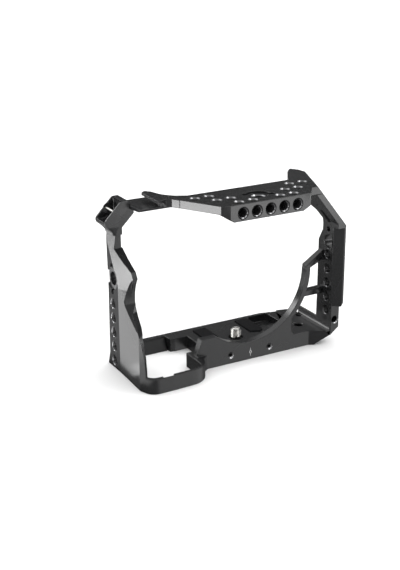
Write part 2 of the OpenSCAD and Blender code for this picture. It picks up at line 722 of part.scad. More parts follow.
module driver_magnets() {
    color(steel_colour) for (x = [0.25, 0.8])
        translate([driver_x + driver_l * x, driver_y, groove_h]) cylinder(h = magnet_t, d = magnet_d);
}

base_plate();
battery_loop();
grip_guard();
grip_post();
strap_anchor();
top_bar();
top_plate();
shoulder_arm();
side_plate();
lens_arc();
arc_struts();
left_pad();
right_pad();
top_pad();
thrust_washer();
camera_screw();
ring_pin();
folding_ring();
stored_driver();
driver_magnets();
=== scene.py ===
"""Looks of a machined camera cage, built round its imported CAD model."""

import json
import math

import bmesh
import bpy
from bpy.props import FloatProperty, FloatVectorProperty, PointerProperty
from mathutils import Matrix, Vector
from mathutils.bvhtree import BVHTree


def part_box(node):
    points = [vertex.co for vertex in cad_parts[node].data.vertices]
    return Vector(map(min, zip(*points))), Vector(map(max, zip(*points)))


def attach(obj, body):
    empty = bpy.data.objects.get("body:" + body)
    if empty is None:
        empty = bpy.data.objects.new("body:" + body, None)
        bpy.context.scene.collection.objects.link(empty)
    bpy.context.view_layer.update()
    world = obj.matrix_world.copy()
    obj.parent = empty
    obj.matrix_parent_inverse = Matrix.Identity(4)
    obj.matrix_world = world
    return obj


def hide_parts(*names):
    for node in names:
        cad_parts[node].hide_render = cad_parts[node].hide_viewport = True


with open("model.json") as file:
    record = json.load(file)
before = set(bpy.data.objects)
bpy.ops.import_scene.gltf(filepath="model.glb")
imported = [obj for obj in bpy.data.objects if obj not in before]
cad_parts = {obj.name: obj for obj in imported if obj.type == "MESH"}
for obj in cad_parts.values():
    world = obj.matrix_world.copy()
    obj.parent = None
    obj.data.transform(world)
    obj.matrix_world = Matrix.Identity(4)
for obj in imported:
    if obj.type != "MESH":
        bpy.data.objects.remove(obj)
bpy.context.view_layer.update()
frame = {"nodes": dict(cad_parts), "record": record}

bl_info = {
    "name": "Camera Cage Looks",
    "version": (1, 0, 0),
    "blender": (4, 5, 0),
    "location": "View3D > Sidebar > Cage",
    "description": "Finish, threads, pads and studio of a machined camera cage",
    "category": "Object",
}

MM = 0.001
TAU = 2 * math.pi
X_AXIS = Vector((1, 0, 0))
Y_AXIS = Vector((0, 1, 0))
Z_AXIS = Vector((0, 0, 1))

# Nodes that are one machined billet in the real cage
BILLET_NODES = (
    "base_plate", "battery_loop", "grip_guard", "grip_post", "strap_anchor", "top_bar",
    "top_plate", "shoulder_arm", "side_plate", "lens_arc", "arc_struts",
)

# Accessory holes on the top plate, in hole pitches right of and behind the 3/8" hole
TOP_STEPS = (
    (-4, 1), (-3, 1), (-3, 0), (-2, 0), (-2, -1), (-1, -1),
    (1, -1), (2, -1), (2, 0), (3, 0), (3, 1), (4, 1),
)


def mount_place(name):
    """Place of one of the record's mounts."""
    for mount in frame["record"]["mounts"]:
        if mount["name"] == name:
            return Vector(mount["pos_m"])
    raise KeyError(name)


def mount_radius(name):
    """Radius of one of the record's round mounts."""
    for mount in frame["record"]["mounts"]:
        if mount["name"] == name:
            return mount["dims"]["r_mm"] * MM
    raise KeyError(name)


TOP_CENTRE = mount_place("top_three_eighth")
HOLE_PITCH = (TOP_CENTRE.x - mount_place("top_hole_left").x) / 2
LENS_X = TOP_CENTRE.x
QUARTER_R = mount_radius("front_hole_mid")
THREE_EIGHTH_R = mount_radius("top_three_eighth")
TOP_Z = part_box("top_plate")[1].z
FRONT_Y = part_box("top_plate")[0].y
SIDE_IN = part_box("side_plate")[0].x
SIDE_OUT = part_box("side_plate")[1].x
POST_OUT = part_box("grip_post")[0].x

# Front face of the base below the lens opening
FACE_Y = -11.7 * MM

# Depth of the locating recess round the 3/8" hole, and the countersink below it
RECESS = 1.7 * MM
RECESS_SINK = 0.7 * MM

# Radii of the small lens support holes and their countersinks
SMALL_R = 1.3 * MM
SMALL_SINK_R = 2.15 * MM

# Radii of the small hole at the foot of the side plate and of its countersink
FOOT_HOLE_R = 2.1 * MM
FOOT_SINK_R = 2.65 * MM

# Vertices of the joined frame that are nearer than this become one
MERGE = 0.1 * MM

# Faces narrower than this keep their edges unbevelled
SLIVER = 0.2 * MM

# Faces over this area are planes, so they are shaded flat
FLAT_AREA = 60 * MM ** 2

# Edges that turn by more than this are shaded sharp
SHARP_TURN = math.radians(50)

# How far a thread's root goes into the wall that it stands on
ROOT = 0.03 * MM


def small_mouths():
    """Mouths of the small lens support holes in the front of the base."""
    for right in (-13.6 * MM, 13.8 * MM):
        yield Vector((LENS_X + right, FACE_Y, 5.4 * MM))


class CageFinish(bpy.types.PropertyGroup):
    """Colours and surface of the cage's pieces."""

    anodised: FloatVectorProperty(
        name="Anodised", description="Colour of the black anodised metal",
        subtype="COLOR", size=3, default=(0.0105, 0.0107, 0.0112), min=0, max=1)
    # Light metal colour of the hole rims: painted highlight, as the rims are anodised like the rest
    # of the frame
    cut_rims: FloatVectorProperty(
        name="Rim highlight", description="Countersunk rims of the tapped holes",
        subtype="COLOR", size=3, default=(0.36, 0.36, 0.37), min=0, max=1)
    steel: FloatVectorProperty(
        name="Steel", description="Turned stainless steel",
        subtype="COLOR", size=3, default=(0.72, 0.71, 0.68), min=0, max=1)
    rubber: FloatVectorProperty(
        name="Rubber", description="Non-slip pads",
        subtype="COLOR", size=3, default=(0.012, 0.012, 0.0125), min=0, max=1)
    roughness: FloatProperty(
        name="Roughness", description="Roughness of the anodised metal",
        default=0.26, min=0.05, max=1)
    grain: FloatProperty(
        name="Grain", description="Size of the blasted grain",
        subtype="DISTANCE", unit="LENGTH", default=0.35 * MM, min=0.05 * MM, max=2 * MM)
    edge: FloatProperty(
        name="Edge", description="Width of the broken edges",
        subtype="DISTANCE", unit="LENGTH", default=0.26 * MM, min=0.05 * MM, max=1 * MM)


class CageThreads(bpy.types.PropertyGroup):
    """Sizes of the threads."""

    quarter_pitch: FloatProperty(
        name='1/4" pitch', description="Pitch of the 20 per inch thread",
        subtype="DISTANCE", unit="LENGTH", default=1.27 * MM, min=0.5 * MM, max=2 * MM)
    three_eighth_pitch: FloatProperty(
        name='3/8" pitch', description="Pitch of the 16 per inch thread",
        subtype="DISTANCE", unit="LENGTH", default=1.5875 * MM, min=0.5 * MM, max=2 * MM)
    ridge: FloatProperty(
        name="Ridge", description="Height of a ridge in a tapped hole",
        subtype="DISTANCE", unit="LENGTH", default=0.28 * MM, min=0.1 * MM, max=0.5 * MM)
    screw_ridge: FloatProperty(
        name="Screw ridge", description="Height of a ridge on the camera screw",
        subtype="DISTANCE", unit="LENGTH", default=0.58 * MM, min=0.2 * MM, max=0.8 * MM)


class CageStage(bpy.types.PropertyGroup):
    """Camera, floor and lights."""

    camera_place: FloatVectorProperty(
        name="Camera", description="Place of the camera",
        subtype="TRANSLATION", unit="LENGTH", size=3,
        default=(-310.76 * MM, -530.48 * MM, 276.24 * MM))
    yaw: FloatProperty(
        name="Yaw", description="Turn of the camera about the vertical",
        subtype="ANGLE", unit="ROTATION", default=math.radians(-28.975))
    pitch: FloatProperty(
        name="Pitch", description="Downward tilt of the camera",
        subtype="ANGLE", unit="ROTATION", default=math.radians(20.486))
    roll: FloatProperty(
        name="Roll", description="Roll of the camera",
        subtype="ANGLE", unit="ROTATION", default=math.radians(-0.346))
    focal: FloatProperty(
        name="Focal length", description="Focal length on a 36 mm wide sensor, in millimetres",
        default=98.43, min=20, max=300)
    floor_size: FloatProperty(
        name="Floor", description="Width of the floor",
        subtype="DISTANCE", unit="LENGTH", default=14, min=1, max=50)
    sun_strength: FloatProperty(
        name="Overhead light", description="Strength of the soft overhead light",
        default=2.7, min=0)
    side_radiance: FloatProperty(
        name="Side panel", description="Brightness of the light panel at the grip side",
        default=13, min=0)
    front_radiance: FloatProperty(
        name="Front panel", description="Brightness of the other light panels", default=3, min=0)


def finish():
    """The scene's finish settings."""
    return bpy.context.scene.cage_finish


def threads():
    """The scene's thread settings."""
    return bpy.context.scene.cage_threads


# Mesh helpers


def merged_mesh(node):
    """A bmesh of a CAD node with its loose triangles joined."""
    bm = bmesh.new()
    bm.from_mesh(frame["nodes"][node].data)
    bmesh.ops.remove_doubles(bm, verts=bm.verts, dist=0.002 * MM)
    return bm


def make_piece(name, bm, material, body):
    """Turns a bmesh into a named piece that rides on a body."""
    for face in bm.faces:
        face.smooth = face.calc_area() < FLAT_AREA
    for edge in bm.edges:
        edge.smooth = edge.is_manifold and edge.calc_face_angle(math.pi) < SHARP_TURN
    mesh = bpy.data.meshes.new(name)
    bm.to_mesh(mesh)
    bm.free()
    piece = bpy.data.objects.new(name, mesh)
    bpy.context.scene.collection.objects.link(piece)
    piece.data.materials.append(material)
    level = piece.modifiers.new("level_faces", "WEIGHTED_NORMAL")
    level.keep_sharp = True
    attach(piece, body)
    return piece


def bevel_edges(bm, edges, width, segments=2):
    """Rounds the given edges."""
    bmesh.ops.bevel(
        bm, geom=edges, offset=width, offset_type="OFFSET", segments=segments, profile=0.5,
        affect="EDGES", clamp_overlap=False, material=-1)


def placed(bm, verts, centre, axis):
    """Turns verts from +Z to an axis and moves them to a centre."""
    turn = Z_AXIS.rotation_difference(axis).to_matrix().to_4x4()
    bmesh.ops.transform(bm, matrix=Matrix.Translation(centre) @ turn, verts=verts)


def close_up(bm, verts):
    """Joins a new part's doubled vertices and turns its faces outward. Returns its vertices."""
    bmesh.ops.remove_doubles(bm, verts=verts, dist=0.0005 * MM)
    kept = [v for v in verts if v.is_valid]
    bmesh.ops.recalc_face_normals(bm, faces=list({f for v in kept for f in v.link_faces}))
    open_edges = [e for v in kept for e in v.link_edges if not e.is_manifold]
    if open_edges:
        raise RuntimeError(f"a part was left open at {len(open_edges)} edges")
    return kept


def ridge_spiral(bm, radius, height, pitch, z_top, z_low, steps=20, inward=True):
    """A triangular ridge spun round Z from z_top down to z_low. Returns its vertices."""
    turns = (z_top - z_low) / pitch
    count = max(8, int(turns * steps))
    tip = radius - height if inward else radius + height
    root = radius + ROOT if inward else radius - ROOT
    half = 0.42 * pitch
    section = [(root, z_top), (tip, z_top - half), (root, z_top - 2 * half)]
    before = set(bm.verts)
    face = bm.faces.new([bm.verts.new((r, 0, z)) for r, z in section])

    # The spin carries the first face to the far end, so a second one closes the start
    bm.faces.new([bm.verts.new(v.co) for v in face.verts])
    drop = Vector((0, 0, -(z_top - z_low - 2 * half) / count))
    bmesh.ops.spin(
        bm, geom=[*face.verts, *face.edges, face], cent=(0, 0, 0), axis=(0, 0, 1), dvec=drop,
        angle=TAU * turns, steps=count, use_merge=False)
    made = [v for v in bm.verts if v not in before]
    return close_up(bm, made)


def lathe(bm, profile, steps):
    """Spins a profile of (radius, height) points round Z, closed if it is off the axis."""
    before = set(bm.verts)
    verts = [bm.verts.new((r, 0, z)) for r, z in profile]
    ends = zip(verts, verts[1:] + verts[:1]) if profile[0][0] else zip(verts, verts[1:])
    edges = [bm.edges.new(pair) for pair in ends]
    bmesh.ops.spin(
        bm, geom=verts + edges, cent=(0, 0, 0), axis=(0, 0, 1), angle=TAU, steps=steps,
        use_merge=True)
    return close_up(bm, [v for v in bm.verts if v not in before])


# Materials


def new_material(name):
    """A material with its node tree and its shader."""
    material = bpy.data.materials.new(name)
    material.use_nodes = True
    tree = material.node_tree
    shader = tree.nodes["Principled BSDF"]
    return material, tree, shader


def noise(tree, size, detail=2.0):
    """Noise texture on Object coordinates with grains of the given size."""
    place = tree.nodes.new("ShaderNodeTexCoord")
    texture = tree.nodes.new("ShaderNodeTexNoise")
    texture.inputs["Scale"].default_value = 1 / size
    texture.inputs["Detail"].default_value = detail
    tree.links.new(place.outputs["Object"], texture.inputs["Vector"])
    return texture


def spread(tree, source, low, high):
    """Maps a 0 to 1 output onto the range low to high."""
    node = tree.nodes.new("ShaderNodeMapRange")
    node.inputs["From Min"].default_value = 0.3
    node.inputs["From Max"].default_value = 0.7
    node.inputs["To Min"].default_value = low
    node.inputs["To Max"].default_value = high
    tree.links.new(source, node.inputs["Value"])
    return node.outputs["Result"]


def tint(tree, factor, dark, light):
    """Mixes two colours by a factor."""
    ramp = tree.nodes.new("ShaderNodeValToRGB")
    ramp.color_ramp.elements[0].position = 0.3
    ramp.color_ramp.elements[1].position = 0.7
    ramp.color_ramp.elements[0].color = (*dark, 1)
    ramp.color_ramp.elements[1].color = (*light, 1)
    tree.links.new(factor, ramp.inputs["Fac"])
    return ramp.outputs["Color"]


def bump(tree, shader, height, distance):
    """Bumps a shader's surface by a height."""
    node = tree.nodes.new("ShaderNodeBump")
    node.inputs["Distance"].default_value = distance
    tree.links.new(height, node.inputs["Height"])
    tree.links.new(node.outputs["Normal"], shader.inputs["Normal"])


def scaled(colour, factor):
    """A colour made lighter or darker."""
    return tuple(min(1.0, c * factor) for c in colour)


def anodised_metal():
    """Black anodised and blasted aluminium."""
    look = finish()
    material, tree, shader = new_material("anodised_metal")
    grain = noise(tree, look.grain, detail=3.0)
    cloud = noise(tree, 40 * MM, detail=2.0)
    colour = tint(
        tree, grain.outputs["Fac"], scaled(look.anodised, 0.9), scaled(look.anodised, 1.12))
    tree.links.new(colour, shader.inputs["Base Color"])
    rough = spread(tree, cloud.outputs["Fac"], look.roughness - 0.02, look.roughness + 0.03)
    tree.links.new(rough, shader.inputs["Roughness"])
    shader.inputs["Specular IOR Level"].default_value = 0.55
    bump(tree, shader, grain.outputs["Fac"], 0.01 * MM)
    return material


def rim_highlight_metal():
    """Light metal on the countersunk rims that paints their highlight; the rims themselves are
    anodised like the rest of the frame.
    """
    look = finish()
    material, tree, shader = new_material("rim_highlight_metal")
    lines = noise(tree, 0.2 * MM, detail=1.0)
    # Light rim colour that paints the highlight on the hole rims
    colour = tint(
        tree, lines.outputs["Fac"], scaled(look.cut_rims, 0.85), scaled(look.cut_rims, 1.1))
    tree.links.new(colour, shader.inputs["Base Color"])
    shader.inputs["Metallic"].default_value = 1
    shader.inputs["Roughness"].default_value = 0.22
    return material


def blasted_strip():
    """Duller finish of the strip that the grip-side holes are in."""
    look = finish()
    material, tree, shader = new_material("blasted_strip")
    grain = noise(tree, look.grain, detail=3.0)
    colour = tint(
        tree, grain.outputs["Fac"], scaled(look.anodised, 0.8), scaled(look.anodised, 1.2))
    tree.links.new(colour, shader.inputs["Base Color"])
    shader.inputs["Roughness"].default_value = 0.7
    shader.inputs["Specular IOR Level"].default_value = 0.25
    bump(tree, shader, grain.outputs["Fac"], 0.03 * MM)
    return material


def turned_steel():
    """Stainless steel with fine turning marks."""
    look = finish()
    material, tree, shader = new_material("turned_steel")
    marks = noise(tree, 0.25 * MM, detail=2.0)
    colour = tint(tree, marks.outputs["Fac"], scaled(look.steel, 0.9), scaled(look.steel, 1.08))
    tree.links.new(colour, shader.inputs["Base Color"])
    rough = spread(tree, marks.outputs["Fac"], 0.2, 0.32)
    tree.links.new(rough, shader.inputs["Roughness"])
    shader.inputs["Metallic"].default_value = 1
    return material


def nickel():
    """Plating of the magnets."""
    material, tree, shader = new_material("nickel")
    cloud = noise(tree, 1.5 * MM)
    tree.links.new(spread(tree, cloud.outputs["Fac"], 0.1, 0.2), shader.inputs["Roughness"])
    tree.links.new(
        tint(tree, cloud.outputs["Fac"], (0.62, 0.6, 0.56), (0.7, 0.68, 0.63)),
        shader.inputs["Base Color"])
    shader.inputs["Metallic"].default_value = 1
    return material


def moulded_rubber():
    """Matt pebbled rubber of the pads."""
    look = finish()
    material, tree, shader = new_material("moulded_rubber")
    pebble = noise(tree, 0.5 * MM, detail=2.0)
    colour = tint(tree, pebble.outputs["Fac"], scaled(look.rubber, 0.8), scaled(look.rubber, 1.4))
    tree.links.new(colour, shader.inputs["Base Color"])
    shader.inputs["Roughness"].default_value = 0.85
    shader.inputs["Specular IOR Level"].default_value = 0
    bump(tree, shader, pebble.outputs["Fac"], 0.06 * MM)
    return material


def washer_plastic():
    """Dark plastic of the thrust washer."""
    material, tree, shader = new_material("washer_plastic")
    cloud = noise(tree, 0.6 * MM)
    tree.links.new(
        tint(tree, cloud.outputs["Fac"], (0.05, 0.05, 0.05), (0.08, 0.08, 0.08)),
        shader.inputs["Base Color"])
    shader.inputs["Roughness"].default_value = 0.45
    return material


def mark_paint():
    """Grey paint of the lens axis mark."""
    material, tree, shader = new_material("mark_paint")
    cloud = noise(tree, 0.3 * MM)
    tree.links.new(
        tint(tree, cloud.outputs["Fac"], (0.42, 0.42, 0.42), (0.52, 0.52, 0.52)),
        shader.inputs["Base Color"])
    shader.inputs["Roughness"].default_value = 0.6
    return material


def floor_white():
    """White floor that is clear from below, so that the cage's underside can be looked at."""
    material, tree, shader = new_material("floor_white")
    cloud = noise(tree, 0.4)
    tree.links.new(
        tint(tree, cloud.outputs["Fac"], (0.8, 0.8, 0.8), (0.82, 0.82, 0.82)),
        shader.inputs["Base Color"])
    shader.inputs["Roughness"].default_value = 0.9
    shader.inputs["Specular IOR Level"].default_value = 0
    side = tree.nodes.new("ShaderNodeNewGeometry")
    clear = tree.nodes.new("ShaderNodeBsdfTransparent")
    mix = tree.nodes.new("ShaderNodeMixShader")
    tree.links.new(side.outputs["Backfacing"], mix.inputs["Fac"])
    tree.links.new(shader.outputs["BSDF"], mix.inputs[1])
    tree.links.new(clear.outputs["BSDF"], mix.inputs[2])
    tree.links.new(mix.outputs["Shader"], tree.nodes["Material Output"].inputs["Surface"])
    return material


def shared(maker):
    """One material for each maker function."""
    name = maker.__name__
    return bpy.data.materials.get(name) or maker()


# Pieces


class CAGE_OT_billet(bpy.types.Operator):
    """The machined frame as one body with broken edges"""

    bl_idname = "cage.billet"
    bl_label = "Machined frame"

    def execute(self, context):
        first, *others = BILLET_NODES
        base = self.loose_copy(first)
        steps = [(self.loose_copy(node), "UNION") for node in others]
        steps.append((self.corner_fillet(), "UNION"))
        cutters = (self.recess_cutter(), self.strap_cutter(), self.sink_cutter())
        steps += [(cutter, "DIFFERENCE") for cutter in cutters]
        for helper, operation in steps:
            join = base.modifiers.new(operation, "BOOLEAN")
            join.operation = operation
            join.solver = "MANIFOLD"
            join.object = helper
        graph = context.evaluated_depsgraph_get()
        joined = bpy.data.meshes.new_from_object(base.evaluated_get(graph))
        helpers = [base] + [m.object for m in base.modifiers]
        for helper in helpers:
            bpy.data.objects.remove(helper)
        bm = bmesh.new()
        bm.from_mesh(joined)
        bpy.data.meshes.remove(joined)
        if not bm.faces:
            raise RuntimeError("the frame's nodes didn't join")
        self.clean(bm)
        self.dull_strips(bm)
        self.break_edges(bm)
        billet = make_piece("billet", bm, shared(anodised_metal), "frame")
        billet.data.materials.append(shared(blasted_strip))
        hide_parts(*BILLET_NODES)
        return {"FINISHED"}

    def loose_copy(self, node):
        """A copy of a CAD node to join or cut with."""
        return self.helper("join_" + node, merged_mesh(node))

    def helper(self, name, bm):
        """A bmesh as an object that is removed once it was used."""
        mesh = bpy.data.meshes.new(name)
        bm.to_mesh(mesh)
        bm.free()
        body = bpy.data.objects.new(name, mesh)
        bpy.context.scene.collection.objects.link(body)
        return body

    def corner_fillet(self):
        """Thickens the line where the strap anchor's head only touches the top bar."""
        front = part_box("strap_anchor")[0].y
        low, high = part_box("top_bar")
        bm = bmesh.new()
        bmesh.ops.create_cube(bm, size=1)
        bmesh.ops.scale(bm, vec=(0.8 * MM, 3 * MM, 0.8 * MM), verts=bm.verts)
        bmesh.ops.translate(bm, vec=(low.x, front + 1.6 * MM, high.z), verts=bm.verts)
        return self.helper("corner_fillet", bm)

    def recess_cutter(self):
        """Deepens the ring-shaped floor of the locating recess round the top 3/8" hole."""
        wall = 6.75 * MM
        bm = bmesh.new()
        verts = lathe(bm, [
            (0, 1 * MM), (wall, 1 * MM), (wall, -RECESS), (THREE_EIGHTH_R + RECESS_SINK, -RECESS),
            (THREE_EIGHTH_R, -RECESS - RECESS_SINK), (0, -RECESS - RECESS_SINK)], steps=72)
        placed(bm, verts, Vector((TOP_CENTRE.x, TOP_CENTRE.y, TOP_Z)), Z_AXIS)
        return self.helper("recess_cutter", bm)

    def sink_cutter(self):
        """Countersinks of the small lens support holes."""
        depth = SMALL_SINK_R - SMALL_R
        bm = bmesh.new()
        for mouth in small_mouths():
            verts = lathe(bm, [
                (0, 1 * MM), (SMALL_SINK_R, 1 * MM), (SMALL_SINK_R, 0), (SMALL_R, -depth),
                (0, -depth)], steps=32)
            placed(bm, verts, mouth, -Y_AXIS)
        return self.helper("sink_cutter", bm)

    def strap_cutter(self):
        """Clears the strap hollow of its square bar and thins the hollow's front wall."""
        low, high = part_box("strap_anchor")
        corners = (
            (low.x - 6 * MM, TOP_Z - 10.8 * MM), (low.x + 3.2 * MM, TOP_Z - 13.4 * MM),
            (low.x + 11.2 * MM, TOP_Z - 11.6 * MM), (low.x + 11.2 * MM, TOP_Z - 3 * MM),
            (low.x + 8 * MM, TOP_Z + 6 * MM))
        bm = bmesh.new()
        face = bm.faces.new([bm.verts.new((x, high.y - 12 * MM, z)) for x, z in corners])
        grown = bmesh.ops.extrude_face_region(bm, geom=[face])
        moved = [g for g in grown["geom"] if isinstance(g, bmesh.types.BMVert)]
        bmesh.ops.translate(bm, vec=(0, 10.7 * MM, 0), verts=moved)
        bmesh.ops.recalc_face_normals(bm, faces=bm.faces)
        return self.helper("strap_cutter", bm)

    def clean(self, bm):
        """Merges near vertices in an order that doesn't hang on how the solver ran."""
        slant = Vector((1, 1.618, 2.414))
        bm.verts.sort(key=lambda vert: vert.co.dot(slant))
        bm.faces.sort(key=lambda face: face.calc_center_median().dot(slant))
        bmesh.ops.remove_doubles(bm, verts=bm.verts, dist=MERGE)
        bmesh.ops.dissolve_limit(
            bm, angle_limit=math.radians(0.5), use_dissolve_boundaries=False,
            verts=bm.verts, edges=bm.edges)

    def dull_strips(self, bm):
        """Gives the strip with the grip-side holes the second material."""
        post = mount_place("grip_side_hole")
        for face in bm.faces:
            middle = face.calc_center_median()
            on_post = abs(middle.x - POST_OUT) < 0.2 * MM and middle.y > post.y - 5 * MM
            if face.normal.x < -0.99 and on_post:
                face.material_index = 1

    def break_edges(self, bm):
        """Bevels the sharp edges, apart from knife edges, and pulls spikes back to the surface."""
        sharp = [
            e for e in bm.edges
            if e.is_manifold
            and math.radians(24) < e.calc_face_angle(0) < math.radians(170)
            and all(f.calc_area() > SLIVER * e.calc_length() for f in e.link_faces)]
        whole = BVHTree.FromBMesh(bm)
        bevel_edges(bm, sharp, finish().edge)
        for vert in bm.verts:
            place, _, _, distance = whole.find_nearest(vert.co)
            if distance > 1.2 * finish().edge:
                vert.co = place


class CAGE_OT_rims(bpy.types.Operator):
    """Countersunk rims of the tapped holes in a light metal that paints their highlight, and the
    holes' threads
    """

    bl_idname = "cage.rims"
    bl_label = "Hole rims and threads"

    def execute(self, context):
        size = threads()
        rims = bmesh.new()
        spirals = bmesh.new()
        for mouth, axis, radius, sink, depth, pitch in self.holes(size):
            self.add_rim(rims, mouth, axis, radius, sink)
            verts = ridge_spiral(spirals, radius, size.ridge, pitch, -0.5 * MM, -depth)
            placed(spirals, verts, mouth, axis)
        for mouth in small_mouths():
            self.add_rim(rims, mouth, -Y_AXIS, SMALL_R, SMALL_SINK_R)
        foot_hole = Vector(((SIDE_IN + SIDE_OUT) / 2, FRONT_Y + 13.8 * MM, 16.6 * MM))
        self.add_rim(rims, foot_hole, -Y_AXIS, FOOT_HOLE_R, FOOT_SINK_R)
        # Rings in the light rim metal: painted highlight on the hole rims
        make_piece("hole_rim_highlights", rims, shared(rim_highlight_metal), "frame")
        make_piece("hole_threads", spirals, shared(anodised_metal), "frame")
        return {"FINISHED"}

    def holes(self, size):
        """Mouth, outward axis, radius, countersink radius, thread depth and pitch of each hole."""
        quarter = size.quarter_pitch
        for right, back in TOP_STEPS:
            mouth = Vector((
                TOP_CENTRE.x + right * HOLE_PITCH, TOP_CENTRE.y + back * HOLE_PITCH, TOP_Z))
            yield mouth, Z_AXIS, QUARTER_R, 3.3 * MM, 3.4 * MM, quarter
        front = mount_place("front_hole_mid")
        for i in range(-2, 3):
            mouth = Vector((front.x + i * HOLE_PITCH, FRONT_Y, front.z))
            yield mouth, -Y_AXIS, QUARTER_R, 3.0 * MM, 6.8 * MM, quarter
        post = mount_place("grip_side_hole")
        for i in range(-2, 3):
            mouth = Vector((POST_OUT, post.y, post.z + i * HOLE_PITCH))
            yield mouth, -X_AXIS, QUARTER_R, 2.82 * MM, 6 * MM, quarter
        plate = mount_place("side_plate_hole")
        for i in range(-2, 3):
            mouth = Vector((SIDE_IN, plate.y, plate.z + i * HOLE_PITCH))
            yield mouth, -X_AXIS, QUARTER_R, 2.75 * MM, 5.6 * MM, quarter
        floor = Vector((TOP_CENTRE.x, TOP_CENTRE.y, TOP_Z - RECESS))
        sink = THREE_EIGHTH_R + RECESS_SINK
        yield floor, Z_AXIS, THREE_EIGHTH_R, sink, 3.2 * MM, size.three_eighth_pitch

    def add_rim(self, bm, mouth, axis, radius, sink):
        """A thin closed ring on the countersink of a hole, which carries the rim's painted
        highlight.
        """
        lift = 0.02 * MM
        height = sink - radius
        back = 0.08 * MM
        verts = lathe(bm, [
            (radius - lift, -height - lift), (sink - 0.25 * height, -0.25 * height + lift),
            (sink, lift * 0.5), (sink, -back), (radius + 0.5 * back, -height - back)], steps=36)
        placed(bm, verts, mouth, axis)


class CAGE_OT_strap_bar(bpy.types.Operator):
    """Polished bar that the strap goes round"""

    bl_idname = "cage.strap_bar"
    bl_label = "Strap bar"

    def execute(self, context):
        low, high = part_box("strap_anchor")
        radius = 0.75 * MM
        length = 11.6 * MM
        bm = bmesh.new()
        verts = lathe(bm, [(0, 0), (radius, 0), (radius, length), (0, length)], steps=32)
        placed(bm, verts, Vector((low.x + 6.4 * MM, high.y - 0.6 * MM, TOP_Z - 7.1 * MM)), -Y_AXIS)
        make_piece("strap_bar", bm, shared(turned_steel), "frame")
        return {"FINISHED"}


class CAGE_OT_screw(bpy.types.Operator):
    """The captive camera screw with its rolled thread"""

    bl_idname = "cage.screw"
    bl_label = "Camera screw"

    def execute(self, context):
        size = threads()
        low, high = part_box("camera_screw")
        centre = Vector(((low.x + high.x) / 2, (low.y + high.y) / 2, 0))
        head_r = (high.x - low.x) / 2
        head_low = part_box("folding_ring")[1].z + 0.08 * MM
        head_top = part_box("thrust_washer")[0].z - 0.15 * MM
        thread_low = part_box("left_pad")[0].z - 0.3 * MM
        neck_r = 2.45 * MM
        core_r = mount_radius("camera_screw_thread") - size.screw_ridge
        bm = bmesh.new()
        chamfer = 0.3 * MM
        lathe(bm, [
            (0, head_low), (head_r - chamfer, head_low), (head_r, head_low + chamfer),
            (head_r, head_top - chamfer), (head_r - chamfer, head_top),
            (neck_r, head_top), (neck_r, thread_low), (core_r, thread_low),
            (core_r, high.z - 0.5 * MM), (core_r - 0.5 * MM, high.z), (0, high.z)], steps=72)
        ridge_spiral(
            bm, core_r, size.screw_ridge, size.quarter_pitch, high.z - 0.2 * MM, thread_low,
            steps=36, inward=False)
        bmesh.ops.translate(bm, vec=centre, verts=bm.verts)
        self.add_lug(bm, centre, low.z, head_low)
        screw = make_piece("screw_turned", bm, shared(turned_steel), "screw")
        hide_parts("camera_screw")
        return {"FINISHED"}

    def add_lug(self, bm, centre, low, high):
        """Block that the folding ring's pin goes through."""
        half = Vector((3.2 * MM, 1.4 * MM, (high - low) / 2 + 0.05 * MM))
        made = bmesh.ops.create_cube(bm, size=2)
        bmesh.ops.scale(bm, vec=half, verts=made["verts"])
        bmesh.ops.translate(
            bm, vec=centre + Vector((0, 0, low + half.z)), verts=made["verts"])
        edges = list({e for v in made["verts"] for e in v.link_edges})
        bevel_edges(bm, edges, 0.15 * MM)


class CAGE_OT_pads(bpy.types.Operator):
    """Non-slip pads with rounded corners"""

    bl_idname = "cage.pads"
    bl_label = "Non-slip pads"

    def execute(self, context):
        for node in ("left_pad", "right_pad", "top_pad"):
            bm = merged_mesh(node)
            bmesh.ops.dissolve_limit(
                bm, angle_limit=math.radians(1), use_dissolve_boundaries=False,
                verts=bm.verts, edges=bm.edges)
            corners = [
                e for e in bm.edges
                if abs((e.verts[0].co - e.verts[1].co).normalized().z) > 0.9
                and e.calc_face_angle(0) > math.radians(35)]
            bevel_edges(bm, corners, 0.4 * MM, segments=4)
            rim = [e for e in bm.edges if e.calc_face_angle(0) > math.radians(60)]
            bevel_edges(bm, rim, 0.15 * MM)
            pad = make_piece(node + "_moulded", bm, shared(moulded_rubber), "frame")
            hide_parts(node)
        return {"FINISHED"}


class CAGE_OT_small_parts(bpy.types.Operator):
    """Folding ring, its pin, washer, stored driver and magnets"""

    bl_idname = "cage.small_parts"
    bl_label = "Small parts"

    def execute(self, context):
        for node, maker, body, slot in (
                ("folding_ring", turned_steel, "ring", "screw"),
                ("ring_pin", turned_steel, "screw", "screw"),
                ("thrust_washer", washer_plastic, "washer", "washer"),
                ("stored_driver", turned_steel, "driver", "driver"),
                ("driver_magnets", nickel, "frame", "magnet")):
            bm = merged_mesh(node)
            bmesh.ops.dissolve_limit(
                bm, angle_limit=math.radians(0.6), use_dissolve_boundaries=False,
                verts=bm.verts, edges=bm.edges)
            sharp = [
                e for e in bm.edges
                if e.is_manifold and math.radians(40) < e.calc_face_angle(0) < math.radians(130)]
            bevel_edges(bm, sharp, 0.1 * MM)
            piece = make_piece(node + "_finished", bm, shared(maker), body)
            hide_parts(node)
        return {"FINISHED"}


